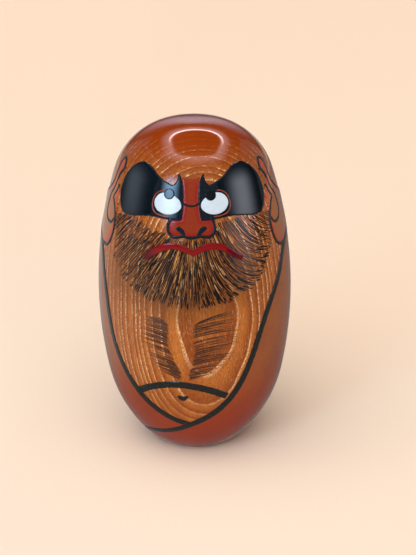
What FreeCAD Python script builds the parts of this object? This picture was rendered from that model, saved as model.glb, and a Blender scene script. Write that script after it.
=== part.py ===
"""Daruma doll: one turned wooden body, and the paint on it as separate thin films.

Millimetres. The origin is the centre of the flat foot, +Z is up and the face looks along -Y.
A place on the doll is written (azimuth, height): azimuth in degrees, 0 at the front and positive
towards +X, and height in millimetres above the foot.
"""
import FreeCAD, Part
import math
import os
import Sketcher

Vector = FreeCAD.Vector
Z_AXIS = Vector(0, 0, 1)

# ---------------------------------------------------------------- driving dimensions
DIMENSIONS = [
    ("height", 120.0, "foot to crown"),
    ("widest_radius", 34.5, "largest radius of the turned body"),
    ("widest_height", 57.5, "height of the largest radius"),
    ("foot_radius", 13.8, "radius of the flat foot"),
    ("foot_round", 0.6, "rounding of the foot's edge"),
    ("crown_radius", 63.0, "arc over the crown"),
    ("shoulder_radius", 25.0, "arc round the head"),
    ("side_radius", 149.0, "long arc of the sides"),
    ("lower_radius", 50.0, "arc under the belly"),
    ("heel_radius", 34.0, "arc down to the foot"),
    ("heel_height", 6.7, "height where the heel arc starts"),
    ("film", 0.12, "thickness of one coat of paint"),
    ("film_foot", 1.2, "height where the paint ends above the foot"),
    ("collar_width", 2.6, "width of the collar and belly lines"),
    ("ear_line_width", 1.25, "width of the ear outlines"),
    ("nose_line_width", 0.95, "width of the nose outline"),
    ("crease_width", 0.7, "width of the crease across the nose"),
    ("lid_line_width", 0.45, "width of the line round each eye"),
    ("pupil_radius", 1.8, "radius of the pupils"),
]

# ---------------------------------------------------------------- places of the painted features
# Shapes that appear on both sides are written for the right side (+X) and mirrored for the left.
# A corner of an outline is a point where one stretch ends and the next begins.
BROW = [
    [(6.0, 91.9), (5.1, 94.6), (4.6, 97.6), (4.6, 100.0), (5.1, 102.5), (6.3, 104.9), (8.2, 106.5)],
    [(8.2, 106.5), (8.8, 106.9), (9.3, 106.3)],
    [(9.3, 106.3), (10.0, 104.6), (12.3, 103.1)],
    [(12.3, 103.1), (18.2, 104.2), (24.0, 105.8), (30.0, 107.8), (40.0, 109.1), (50.0, 107.3),
     (56.2, 102.8), (57.2, 97.5), (50.5, 91.9)],
    [(50.5, 91.9), (43.0, 91.6), (28.0, 92.6), (15.0, 92.1), (6.0, 91.9)],
]
EYE_WHITE = [
    [(6.3, 96.6), (7.2, 98.1), (10.6, 99.6), (15.0, 100.5), (18.9, 100.6), (22.8, 99.6),
     (24.8, 97.4), (23.0, 95.3), (18.7, 94.0), (13.4, 93.8), (8.6, 94.8), (6.3, 96.6)],
]
LID_LINE = [(17.5, 101.2), (21.5, 100.9), (24.5, 99.6), (26.0, 97.2), (25.4, 95.1), (22.4, 93.7),
            (18.2, 93.1), (14.3, 93.0)]
PUPIL_CENTRES = {"left": (-14.7, 100.3), "right": (13.0, 99.9)}
NOSE = [
    [(-6.5, 105.8), (0.0, 105.2), (6.5, 105.8)],
    [(6.5, 105.8), (6.5, 92.4)],
    [(6.5, 92.4), (10.2, 92.5), (13.0, 91.5), (13.8, 89.7), (12.6, 87.6), (9.4, 86.9), (5.0, 87.4)],
    [(5.0, 87.4), (2.6, 86.9), (0.0, 86.8), (-2.6, 86.9), (-5.0, 87.4)],
    [(-5.0, 87.4), (-9.4, 86.9), (-12.6, 87.6), (-13.8, 89.7), (-13.0, 91.5), (-10.2, 92.5),
     (-6.5, 92.4)],
    [(-6.5, 92.4), (-6.5, 105.8)],
]
NOSE_WING_LINE = [(11.8, 92.6), (13.8, 91.7), (14.5, 90.1), (14.2, 88.4), (12.6, 87.0), (9.6, 86.5),
                  (6.9, 86.7), (4.5, 86.9)]
NOSE_BALL_LINE = [(-4.7, 86.9), (-2.2, 86.5), (0.0, 86.4), (2.2, 86.5), (4.7, 86.9)]
NOSE_CREASE = [(-4.8, 97.4), (-2.4, 96.8), (0.2, 96.6), (2.8, 96.8), (5.0, 97.5)]
NOSTRIL = [
    [(3.3, 87.1), (4.0, 88.4), (5.5, 89.5), (7.8, 90.1), (9.6, 89.7), (8.8, 88.8), (7.1, 88.1),
     (5.6, 87.2)],
    [(5.6, 87.2), (3.3, 87.1)],
]
MOUTH = [
    [(-28.4, 80.0), (-26.6, 81.6), (-20.6, 83.5), (-13.3, 84.6), (-7.1, 84.3), (-2.1, 83.3), (1.3, 82.5)],
    [(1.3, 82.5), (6.8, 84.2), (12.9, 84.7), (19.1, 83.8), (25.3, 81.7), (30.6, 79.9)],
    [(30.6, 79.9), (31.6, 78.9), (30.7, 78.0), (28.4, 78.2)],
    [(28.4, 78.2), (22.9, 80.1), (18.9, 81.5), (12.8, 82.3), (6.8, 81.8), (1.3, 80.2)],
    [(1.3, 80.2), (-3.1, 81.5), (-7.1, 82.2), (-13.2, 82.3), (-18.4, 81.3), (-23.0, 79.7), (-26.2, 78.7)],
    [(-26.2, 78.7), (-28.3, 78.3), (-29.4, 79.1), (-28.4, 80.0)],
]
BEARD_RIGHT_EDGE = [(50.0, 93.0), (55.3, 90.8), (55.7, 86.5), (56.0, 81.0), (53.8, 75.5),
                    (48.0, 70.8), (40.0, 68.6), (20.0, 64.0), (0.0, 62.4)]
EAR_RED = [
    [(60.4, 105.2), (61.3, 107.0), (65.6, 108.1), (68.6, 106.5), (69.1, 103.8), (69.6, 101.5), (73.4, 98.6),
     (79.0, 96.5), (86.0, 94.7), (92.0, 91.2), (92.6, 86.0), (87.0, 81.9), (78.5, 79.3), (70.0, 78.6),
     (64.4, 79.0), (60.7, 80.9), (58.5, 83.5), (57.6, 86.7), (57.6, 90.5)],
    [(57.6, 90.5), (58.2, 95.0), (60.2, 100.2)],
    [(60.2, 100.2), (64.6, 102.0), (60.4, 105.2)],
]
EAR_LINES = [
    [(60.4, 105.0), (61.2, 106.9), (65.6, 108.3), (68.8, 106.6), (69.3, 103.9), (69.8, 101.7), (73.5, 98.8),
     (79.0, 96.7), (86.0, 94.9), (92.2, 91.4), (92.8, 86.0), (87.2, 81.7), (78.7, 79.1), (70.0, 78.4),
     (64.3, 78.8), (60.5, 80.7), (58.3, 83.5), (57.4, 86.7), (58.2, 89.6)],
    [(60.4, 105.0), (63.3, 103.4), (64.9, 102.0), (65.6, 100.4), (66.9, 98.4), (70.4, 96.2), (71.9, 93.6),
     (72.6, 90.7), (70.8, 88.3), (67.2, 86.9), (63.8, 86.7), (60.8, 87.4), (58.8, 88.8)],
    [(60.6, 100.0), (62.3, 97.8), (66.0, 95.4)],
    [(66.0, 95.4), (62.7, 93.7), (60.2, 91.8), (58.2, 89.6)],
]
CHEST_HAIR = {
    "right": [[(-0.6, 52.0), (2.5, 57.0), (10.0, 58.2), (24.0, 56.5), (27.0, 51.0), (24.0, 44.5),
               (16.0, 38.7), (5.0, 36.0), (-2.6, 35.7), (-1.0, 42.0), (-0.6, 52.0)]],
    "left": [[(-13.0, 53.0), (-15.5, 57.2), (-22.0, 58.2), (-29.0, 55.5), (-28.5, 46.0),
              (-24.0, 38.2), (-15.0, 35.6), (-7.4, 35.9), (-10.3, 43.0), (-13.0, 53.0)]],
}
BELLY_LINE = [(-37.0, 28.4), (-24.0, 32.0), (-9.0, 33.5), (7.0, 31.8), (21.4, 28.0)]
NAVEL = [
    [(-10.3, 28.8), (-8.6, 29.1), (-6.8, 28.7), (-5.0, 29.1), (-3.3, 28.8)],
    [(-3.3, 28.8), (-4.6, 27.4), (-6.8, 26.9), (-9.0, 27.4), (-10.3, 28.8)],
]
# Collar lines from the nape round the neck to the lap, where the right one crosses the left one.
COLLAR_NAPE = [(180.0, 84.6), (155.0, 84.2), (130.0, 83.2), (112.0, 82.3), (96.0, 81.2)]
COLLAR_RIGHT_FRONT = [(76.0, 78.9), (68.0, 75.7), (61.7, 70.0), (50.1, 60.0), (42.0, 50.0),
                      (35.9, 40.0), (27.8, 30.0), (21.2, 25.0), (10.7, 20.0), (-2.8, 15.9)]
COLLAR_RIGHT_TAIL = [(-20.8, 11.8), (-34.0, 10.1), (-46.0, 8.8), (-61.0, 6.0), (-74.0, 3.0)]
COLLAR_LEFT_FRONT = [(-76.0, 78.6), (-70.0, 74.5), (-66.6, 70.0), (-61.1, 60.0), (-57.5, 50.0),
                     (-51.8, 40.0), (-40.8, 30.0), (-32.8, 25.0), (-18.8, 19.4), (-2.8, 15.9)]

SECTION_SPACING = 2.4    # distance between the cross-sections of a painted line
SECTIONS_PER_BLADE = 6   # a long line is cut by several blades, each this many sections long
BLADE_DEPTH = 0.8        # how far a line's cutting blade reaches into the body and above it
CUTTER_REACH = 1.6       # length of an outline's cutter, in widest radii
OPENING_MARGIN = 12.0    # how far the robe's openings reach beyond the doll
SEAM = 180.0             # azimuth of the closing edge of the coats, out of the way of the lines
LEFT_AND_RIGHT = {"left": -1.0, "right": 1.0}

doc = FreeCAD.newDocument("Daruma")


def make_sheet():
    """The spreadsheet of driving dimensions, one alias per row."""
    new_sheet = doc.addObject("Spreadsheet::Sheet", "Dims")
    for row, (alias, value, meaning) in enumerate(DIMENSIONS, start=1):
        new_sheet.set(f"A{row}", meaning)
        new_sheet.set(f"B{row}", str(value))
        new_sheet.setAlias(f"B{row}", alias)
    doc.recompute()
    return new_sheet


sheet = make_sheet()


def size(alias):
    """A driving dimension, read back from the sheet."""
    return float(sheet.get(alias))


# ---------------------------------------------------------------- the turned body
PROFILE_RADII = ["crown_radius", "shoulder_radius", "side_radius", "lower_radius", "heel_radius"]
ROUGH_TILTS = [0.0, 5.7, 72.5, 101.1, 129.3, 146.3]   # where each arc starts, degrees from upright


def draw_profile_arcs(sketch):
    """The five arcs from crown to foot, roughly placed; the constraints then settle them."""
    radius_out, level = 0.0, size("height")
    for index, alias in enumerate(PROFILE_RADII):
        arc_radius = size(alias)
        start = math.radians(ROUGH_TILTS[index])
        end = math.radians(ROUGH_TILTS[index + 1])
        centre = Vector(radius_out - arc_radius * math.sin(start), level - arc_radius * math.cos(start), 0)
        circle = Part.Circle(centre, Z_AXIS, arc_radius)
        sketch.addGeometry(Part.ArcOfCircle(circle, math.pi / 2 - end, math.pi / 2 - start), False)
        radius_out = centre.x + arc_radius * math.sin(end)
        level = centre.y + arc_radius * math.cos(end)


def bind(sketch, kind, geometry, formula, name):
    """Add a measuring constraint and drive it from the sheet."""
    value = sheet_value(formula)
    index = sketch.addConstraint(Sketcher.Constraint(kind, *geometry, value))
    sketch.renameConstraint(index, name)
    sketch.setExpression(f"Constraints.{name}", formula)


def sheet_value(formula):
    """First value of a constraint whose formula is one cell, or one cell less another."""
    names = [word.strip().removeprefix("Dims.") for word in formula.split("-")]
    return size(names[0]) - sum(size(name) for name in names[1:])


def make_turned_body():
    """Sketch of tangent arcs turned about the vertical axis, with a softened foot edge."""
    body = doc.addObject("PartDesign::Body", "turned_body")
    front_plane = next(f for f in body.Origin.OriginFeatures if f.Role == "XZ_Plane")
    sketch = body.newObject("Sketcher::SketchObject", "profile")
    sketch.AttachmentSupport = [(front_plane, "")]
    sketch.MapMode = "FlatFace"
    draw_profile_arcs(sketch)
    crown, shoulder, side, lower, heel = range(len(PROFILE_RADII))
    top, foot_edge = Vector(0, size("height"), 0), Vector(size("foot_radius"), 0, 0)
    axis_line = sketch.addGeometry(Part.LineSegment(top, Vector(0, 0, 0)), False)
    foot_line = sketch.addGeometry(Part.LineSegment(Vector(0, 0, 0), foot_edge), False)

    start, end, centre, origin = 1, 2, 3, (-1, 1)
    for upper in (crown, shoulder, side, lower):
        sketch.addConstraint(Sketcher.Constraint("Tangent", upper, start, upper + 1, end))
    sketch.addConstraint(Sketcher.Constraint("Coincident", crown, end, axis_line, start))
    sketch.addConstraint(Sketcher.Constraint("Coincident", axis_line, end, *origin))
    sketch.addConstraint(Sketcher.Constraint("Coincident", foot_line, start, *origin))
    sketch.addConstraint(Sketcher.Constraint("Coincident", foot_line, end, heel, start))
    sketch.addConstraint(Sketcher.Constraint("Vertical", axis_line))
    sketch.addConstraint(Sketcher.Constraint("Horizontal", foot_line))
    sketch.addConstraint(Sketcher.Constraint("PointOnObject", crown, centre, -2))
    for arc, alias in enumerate(PROFILE_RADII):
        bind(sketch, "Radius", (arc,), f"Dims.{alias}", alias)
    bind(sketch, "DistanceY", (*origin, axis_line, start), "Dims.height", "height")
    bind(sketch, "DistanceX", (*origin, foot_line, end), "Dims.foot_radius", "foot_radius")
    bind(sketch, "DistanceY", (*origin, side, centre), "Dims.widest_height", "widest_height")
    side_centre = "Dims.side_radius - Dims.widest_radius"
    bind(sketch, "DistanceX", (side, centre, *origin), side_centre, "side_centre")
    bind(sketch, "DistanceY", (*origin, lower, start), "Dims.heel_height", "heel_height")
    doc.recompute()

    turning = body.newObject("PartDesign::Revolution", "turning")
    turning.Profile = sketch
    turning.ReferenceAxis = (sketch, ["V_Axis"])
    turning.Angle = 360.0
    doc.recompute()

    soft_edge = body.newObject("PartDesign::Fillet", "foot_round")
    soft_edge.Base = (turning, [foot_edge_name(turning.Shape)])
    soft_edge.setExpression("Radius", "Dims.foot_round")
    body.Label = "turned_body"
    doc.recompute()
    return body, sketch


def foot_edge_name(shape):
    """The name of the round edge that lies in the foot plane."""
    for number, edge in enumerate(shape.Edges, start=1):
        if edge.BoundBox.ZMax < 1e-6 and edge.BoundBox.XLength > size("foot_radius"):
            return f"Edge{number}"
    raise RuntimeError("no foot edge")


turned_body, profile = make_turned_body()
ARCS = profile.Geometry[:len(PROFILE_RADII)]


# ---------------------------------------------------------------- places on the turned surface
LOW_ENDS = [arc.StartPoint.y for arc in ARCS]   # height of the lower end of each profile arc


def surface_point(azimuth, level, lift=0.0):
    """A point on the turned surface, or `lift` above it along its normal."""
    index = next((i for i, low in enumerate(LOW_ENDS) if level >= low), len(ARCS) - 1)
    arc = ARCS[index]
    rise = level - arc.Center.y
    reach = math.sqrt(max(arc.Radius ** 2 - rise ** 2, 0.0))
    radius_out = arc.Center.x + reach * (1 + lift / arc.Radius)
    turn = math.radians(azimuth)
    height = level + rise * lift / arc.Radius
    return Vector(radius_out * math.sin(turn), -radius_out * math.cos(turn), height)


def place_of(point):
    """The (azimuth, height) of a point near the surface."""
    return math.degrees(math.atan2(point.x, -point.y)), point.z


def mirrored(stretches, side):
    """The stretches as written for the right, or flipped for the left, which keeps their order."""
    return [[(azimuth * side, level) for azimuth, level in stretch] for stretch in stretches]


# ---------------------------------------------------------------- tools for the paint films
shells = {}


def coat(low_coat, high_coat):
    """Shell over the whole doll from one coat to another: 0 is bare wood, 1 the top of coat one."""
    if (low_coat, high_coat) in shells:
        return shells[low_coat, high_coat]
    ends = [size("height")] + LOW_ENDS[:-1] + [size("film_foot")]
    inner, outer = (count * size("film") for count in (low_coat, high_coat))

    def arc_edges(lift):
        return [Part.Arc(surface_point(SEAM, high, lift), surface_point(SEAM, (high + low) / 2, lift),
                         surface_point(SEAM, low, lift)).toShape() for high, low in zip(ends, ends[1:])]

    def cap(level):
        return Part.makeLine(surface_point(SEAM, level, inner), surface_point(SEAM, level, outer))

    edges = arc_edges(inner) + arc_edges(outer) + [cap(ends[0]), cap(ends[-1])]
    outline = Part.Wire(Part.__sortEdges__(edges))
    shell = doc.addObject("Part::Feature", f"coat_{low_coat}_to_{high_coat}")
    shell.Shape = Part.Face(outline).revolve(Vector(0, 0, 0), Z_AXIS, 360)
    shells[low_coat, high_coat] = shell
    return shell


def facing_direction(azimuth):
    turn = math.radians(azimuth)
    return Vector(math.sin(turn), -math.cos(turn), 0)


def flat_outline(stretches, direction):
    """The outline's stretches as edges in the plane through the doll's axis that faces `direction`."""
    edges = []
    for stretch in stretches:
        points = [surface_point(azimuth, level) for azimuth, level in stretch]
        flat = [point - direction * point.dot(direction) for point in points]
        edges.append(smooth_edge(flat))
    return edges


def smooth_edge(points):
    """A straight edge through two points, a closed curve, or an open curve."""
    if len(points) == 2:
        return Part.makeLine(*points)
    curve = Part.BSplineCurve()
    if points[0].isEqual(points[-1], 1e-6):
        curve.interpolate(Points=points[:-1], PeriodicFlag=True)
    else:
        curve.interpolate(Points=points)
    return curve.toShape()


def cutter(name, edges, direction, two_way=False):
    """The outline's wire carried through the surface along `direction`."""
    outline = doc.addObject("Part::Feature", f"{name}_outline")
    outline.Shape = Part.Wire(edges)
    solid = doc.addObject("Part::Extrusion", f"{name}_cutter")
    solid.Base = outline
    solid.DirMode = "Custom"
    solid.Dir = direction
    solid.Solid = True
    solid.setExpression("LengthFwd", f"Dims.widest_radius * {CUTTER_REACH}")
    if two_way:
        solid.setExpression("LengthRev", f"Dims.widest_radius * {CUTTER_REACH}")
    return solid


def boolean(kind, name, base, tool):
    feature = doc.addObject(kind, name)
    feature.Base = base
    feature.Tool = tool
    feature.Refine = False
    return feature


def without(name, film, others):
    """The film less the films that share its place."""
    for number, other in enumerate(others, start=1):
        film = boolean("Part::Cut", f"{name}_less_{number}", film, other)
    return film


def painted_patch(name, facing, stretches, coats, less=()):
    """A film with a drawn outline, seen square on from `facing`."""
    direction = facing_direction(facing)
    tool = cutter(name, flat_outline(stretches, direction), direction)
    film = boolean("Part::Common", f"{name}_film", coat(*coats), tool)
    return finish(name, without(name, film, less))


def line_sections(places, width):
    """Upright planar rectangles along a line on the surface, reaching into the body and above it."""
    path = Part.BSplineCurve()
    path.interpolate(Points=[surface_point(*place) for place in places])
    edge = path.toShape()
    count = max(int(edge.Length / SECTION_SPACING), len(places)) + 1
    sections = []
    for point in edge.discretize(count):
        place = place_of(point)
        normal = surface_normal(*place)
        tangent = edge.tangentAt(path.parameter(point))
        across = tangent.cross(normal).normalize() * (width / 2)
        upright = normal * BLADE_DEPTH
        foot = surface_point(*place)
        corners = [foot - across - upright, foot - across + upright,
                   foot + across + upright, foot + across - upright]
        sections.append(Part.makePolygon(corners + corners[:1]))
    return sections


def line_blades(name, places, width):
    """Thin upright strips, end to end along the line, to cut a painted line from a coat."""
    sections = line_sections(places, width)
    blades = []
    for first in range(0, len(sections) - 1, SECTIONS_PER_BLADE):
        blade = doc.addObject("Part::Feature", f"{name}_blade")
        blade.Shape = Part.makeLoft(sections[first:first + SECTIONS_PER_BLADE + 1], True)
        blades.append(blade)
    return blades


def surface_normal(azimuth, level):
    return (surface_point(azimuth, level, 1.0) - surface_point(azimuth, level)).normalize()


def painted_line(name, lines, width, coats, less=()):
    """A brush line, or several that run together, of one width."""
    strokes = [boolean("Part::Common", f"{name}_stroke", coat(*coats), blade)
               for places in lines for blade in line_blades(name, places, size(width))]
    film = strokes[0]
    if len(strokes) > 1:
        film = doc.addObject("Part::MultiFuse", f"{name}_joined")
        film.Shapes = strokes
    return finish(name, without(name, film, less))


pieces = {}


def finish(name, feature):
    """Label a finished piece with its own name and keep it for the parts folder."""
    feature.Label = name
    pieces[name] = feature
    return feature


# ---------------------------------------------------------------- the paint, from the wood outwards
def make_collar_and_robe():
    """Robe lacquer up to the collar, then the two collar lines along its edge, right over left."""
    high = size("height") + OPENING_MARGIN
    wide = size("widest_radius") + OPENING_MARGIN
    front = facing_direction(0)
    right_edge, left_edge = flat_outline([COLLAR_RIGHT_FRONT, COLLAR_LEFT_FRONT], front)
    right_end, left_end = (edge.valueAt(edge.FirstParameter) for edge in (right_edge, left_edge))
    around = [left_end, Vector(-wide, 0, left_end.z), Vector(-wide, 0, high), Vector(wide, 0, high),
              Vector(wide, 0, right_end.z), right_end]
    front_edges = [left_edge, *Part.makePolygon(around).Edges, right_edge]
    chest_opening = cutter("chest_opening", Part.__sortEdges__(front_edges), front)

    side = facing_direction(90)
    nape_edge, = flat_outline([COLLAR_NAPE + COLLAR_RIGHT_FRONT[:1]], side)
    back, shoulder = (nape_edge.valueAt(p) for p in (nape_edge.FirstParameter, nape_edge.LastParameter))
    over = [shoulder, Vector(0, shoulder.y, high), Vector(0, wide, high), Vector(0, wide, back.z), back]
    nape_edges = [nape_edge, *Part.makePolygon(over).Edges]
    nape_opening = cutter("nape_opening", Part.__sortEdges__(nape_edges), side, two_way=True)

    robe = finish("robe_lacquer", without("robe", coat(0, 1), [chest_opening, nape_opening]))
    right = painted_line("collar_line_right", [COLLAR_NAPE + COLLAR_RIGHT_FRONT + COLLAR_RIGHT_TAIL],
                         "collar_width", (0, 2), [robe])
    left_nape, = mirrored([COLLAR_NAPE], LEFT_AND_RIGHT["left"])
    left = painted_line("collar_line_left", [left_nape + COLLAR_LEFT_FRONT], "collar_width", (0, 2),
                        [robe, right])
    painted_line("belly_line", [BELLY_LINE], "collar_width", (0, 1), [right, left])


def make_belly_marks():
    painted_patch("navel_mark", -7, NAVEL, (0, 1))
    for side, outline in CHEST_HAIR.items():
        painted_patch(f"chest_hair_{side}", 15 * LEFT_AND_RIGHT[side], outline, (0, 1))


def make_eyes(side_name, side):
    """Black brow patch, the white on it, the pupil on both and the fine line round the white."""
    brow = painted_patch(f"brow_{side_name}", 31 * side, mirrored(BROW, side), (0, 1))
    white = painted_patch(f"eye_white_{side_name}", 15 * side, mirrored(EYE_WHITE, side), (1, 2))
    painted_patch(f"pupil_{side_name}", 15 * side, [round_spot(*PUPIL_CENTRES[side_name])], (1, 3), [white])
    painted_line(f"eyelid_line_{side_name}", mirrored([LID_LINE], side), "lid_line_width", (1, 2), [white])
    return brow


def round_spot(azimuth, level, corners=8):
    """Closed ring of places a pupil's radius from a centre."""
    centre = surface_point(azimuth, level)
    normal = surface_normal(azimuth, level)
    sideways = Z_AXIS.cross(normal).normalize()
    upwards = normal.cross(sideways)
    radius = size("pupil_radius")
    turns = [2 * math.pi * k / corners for k in range(corners)]
    ring = [place_of(centre + sideways * (radius * math.cos(turn)) + upwards * (radius * math.sin(turn)))
            for turn in turns]
    return ring + ring[:1]


def make_nose_mouth_beard(brows):
    nose = painted_patch("nose_red", 0, NOSE, (0, 1), brows)
    left_edge, = mirrored([BEARD_RIGHT_EDGE], LEFT_AND_RIGHT["left"])
    beard_outline = [BEARD_RIGHT_EDGE, left_edge[::-1], [left_edge[0], BEARD_RIGHT_EDGE[0]]]
    painted_patch("beard", 0, beard_outline, (0, 1), [*brows, nose])
    wings = [mirrored([NOSE_WING_LINE], side)[0] for side in LEFT_AND_RIGHT.values()]
    outline = painted_line("nose_outline", [wings[0], NOSE_BALL_LINE, wings[1]], "nose_line_width", (1, 2))
    painted_line("nose_crease", [NOSE_CREASE], "crease_width", (1, 2))
    for side_name, side in LEFT_AND_RIGHT.items():
        painted_patch(f"nostril_{side_name}", 0, mirrored(NOSTRIL, side), (1, 2), [outline])
    painted_patch("mouth", 0, MOUTH, (1, 2))


def make_ear(side_name, side):
    red = painted_patch(f"ear_red_{side_name}", 71 * side, mirrored(EAR_RED, side), (0, 1))
    painted_line(f"ear_outline_{side_name}", mirrored(EAR_LINES, side), "ear_line_width", (0, 2), [red])


def build():
    finish("turned_body", turned_body)
    make_collar_and_robe()
    make_belly_marks()
    brows = [make_eyes(side_name, side) for side_name, side in LEFT_AND_RIGHT.items()]
    make_nose_mouth_beard(brows)
    for side_name, side in LEFT_AND_RIGHT.items():
        make_ear(side_name, side)
    doc.recompute()


def stop_if_failed():
    """A failed or empty feature raises no error of its own, so look at every one."""
    broken = [item.Name for item in doc.Objects if {"Invalid", "Error"} & set(item.State)]
    kinds = ("Part::Common", "Part::Cut", "Part::MultiFuse")
    booleans = [item for item in doc.Objects if item.TypeId in kinds]
    empty = [item.Name for item in booleans if item.Shape.isNull() or not item.Shape.Solids]
    if broken or empty:
        raise RuntimeError(f"failed objects: {broken}, empty objects: {empty}")


def write_pieces():
    """Write each piece to a file of its own, named after it."""
    os.makedirs("parts", exist_ok=True)
    for name, feature in pieces.items():
        shape = feature.Shape
        if not shape.isValid() or not shape.Solids:
            raise RuntimeError(f"{name} has no valid solid")
        print(f"{name}: {len(shape.Solids)} solid, {shape.Volume:.2f} mm3")
        shape.exportStep(f"parts/{name}.step")


build()
stop_if_failed()
write_pieces()
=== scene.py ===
"""Looks of a turned wooden daruma doll: stained wood, brushed paint, hair strokes, a plain studio.

Lengths are millimetres, as on the doll, and points become metres when they are made. A place on the
doll is (azimuth, height): degrees from the front, positive towards +X, and millimetres above the foot.
"""
import bmesh
import bpy
import math
import numpy as np
from mathutils import Matrix, Vector, geometry, kdtree


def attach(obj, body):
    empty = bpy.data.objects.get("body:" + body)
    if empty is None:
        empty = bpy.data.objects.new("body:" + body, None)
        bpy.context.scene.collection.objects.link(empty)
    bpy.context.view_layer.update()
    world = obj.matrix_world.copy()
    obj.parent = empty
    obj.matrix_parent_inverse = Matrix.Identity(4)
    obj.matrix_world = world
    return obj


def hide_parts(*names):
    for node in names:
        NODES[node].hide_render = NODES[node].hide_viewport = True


MM = 0.001
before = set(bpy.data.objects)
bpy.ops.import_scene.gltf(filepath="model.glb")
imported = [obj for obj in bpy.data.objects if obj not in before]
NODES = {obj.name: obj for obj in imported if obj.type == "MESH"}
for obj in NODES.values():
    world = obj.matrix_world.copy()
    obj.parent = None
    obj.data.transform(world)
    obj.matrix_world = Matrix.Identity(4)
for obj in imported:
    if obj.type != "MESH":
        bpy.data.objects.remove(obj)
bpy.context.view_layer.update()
SIDES = ("left", "right")
HAND_SEED = 12

# ---------- colours, as seen under white light
WOOD_GOLD = (186, 108, 42)
WOOD_RED = (134, 62, 17)
WOOD_DARK = (84, 36, 12)
CROWN_RED = (136, 46, 0)
FILLER = (232, 196, 146)
ROBE_RED = (144, 48, 14)
ROBE_BROWN = (150, 86, 44)
ROBE_DARK = (112, 40, 18)
LINE_GREY = (26, 28, 25)
LINE_BROWN = (48, 38, 31)
INK = (6, 11, 16)
INK_BLUE = (13, 22, 30)
PUPIL = (3, 3, 4)
EYE_WHITE = (196, 206, 213)
EYE_SHADE = (176, 190, 202)
NOSE_RED = (134, 24, 10)
NOSE_THIN = (126, 48, 14)
MOUTH_RED = (118, 2, 3)
MOUTH_DARK = (70, 2, 12)
EAR_RED = (178, 62, 38)
EAR_THIN = (154, 92, 50)
LID_RED = (136, 62, 42)
BEARD_STAIN = (88, 50, 16)
HAIR_DARK = (9, 5, 3)
HAIR_BROWN = (96, 54, 26)
HAIR_GOLD = (206, 146, 76)
CHEST_DARK = (40, 24, 16)
CHEST_BROWN = (106, 60, 30)
FLOOR_PALE = (246, 219, 194)
BACKDROP_PALE = (252, 226, 200)
SKY_GREY = (206, 216, 226)
CARD_GREY = (136, 133, 131)
CARD_BLACK = (8, 8, 9)
LAMP_PINK = (255, 236, 236)
DAYLIGHT = (255, 250, 244)


def linear(colour):
    """A colour written 0 to 255 as the eye sees it, as Blender's linear values."""
    parts = [part / 255 for part in colour]
    return tuple(p / 12.92 if p < 0.04045 else ((p + 0.055) / 1.055) ** 2.4 for p in parts) + (1.0,)


# ---------- the turned surface
KNOT_SPACING = 0.45  # closest spacing of the profile's knots, mm
PROFILE_STEP = 0.1  # spacing of the finished profile's points, mm
FLAT_FOOT = 0.005  # vertices lower than this lie in the foot plane
OVER_THE_CROWN = 3  # knots mirrored beyond the crown, so that the profile runs level through it


def vertices_of(obj):
    """Vertex places of a mesh object, in millimetres."""
    flat = np.empty(len(obj.data.vertices) * 3, np.float32)
    obj.data.vertices.foreach_get("co", flat)
    return flat.reshape(-1, 3).astype(float) / MM


def natural_spline(knots, values, places):
    """Natural cubic spline through rows of values at the knots, at other places along them."""
    step = np.diff(knots)
    slope = np.diff(values, axis=0) / step[:, None]
    count = len(knots)
    system = np.eye(count)
    bend = np.zeros((count, values.shape[1]))
    for k in range(1, count - 1):
        system[k, k - 1:k + 2] = step[k - 1], 2 * (step[k - 1] + step[k]), step[k]
        bend[k] = 6 * (slope[k] - slope[k - 1])
    bend = np.linalg.solve(system, bend)
    span = np.clip(np.searchsorted(knots, places) - 1, 0, count - 2)
    width = step[span][:, None]
    before = (places - knots[span])[:, None]
    after = width - before
    low, high = bend[span], bend[span + 1]
    return ((low * after ** 3 + high * before ** 3) / (6 * width)
            + (values[span] / width - low * width / 6) * after
            + (values[span + 1] / width - high * width / 6) * before)


def direction(azimuth, elevation):
    """Unit vector from the doll towards an azimuth and an elevation, in degrees."""
    turn, tilt = math.radians(azimuth), math.radians(elevation)
    return Vector((math.sin(turn) * math.cos(tilt), -math.cos(turn) * math.cos(tilt), math.sin(tilt)))


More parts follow.
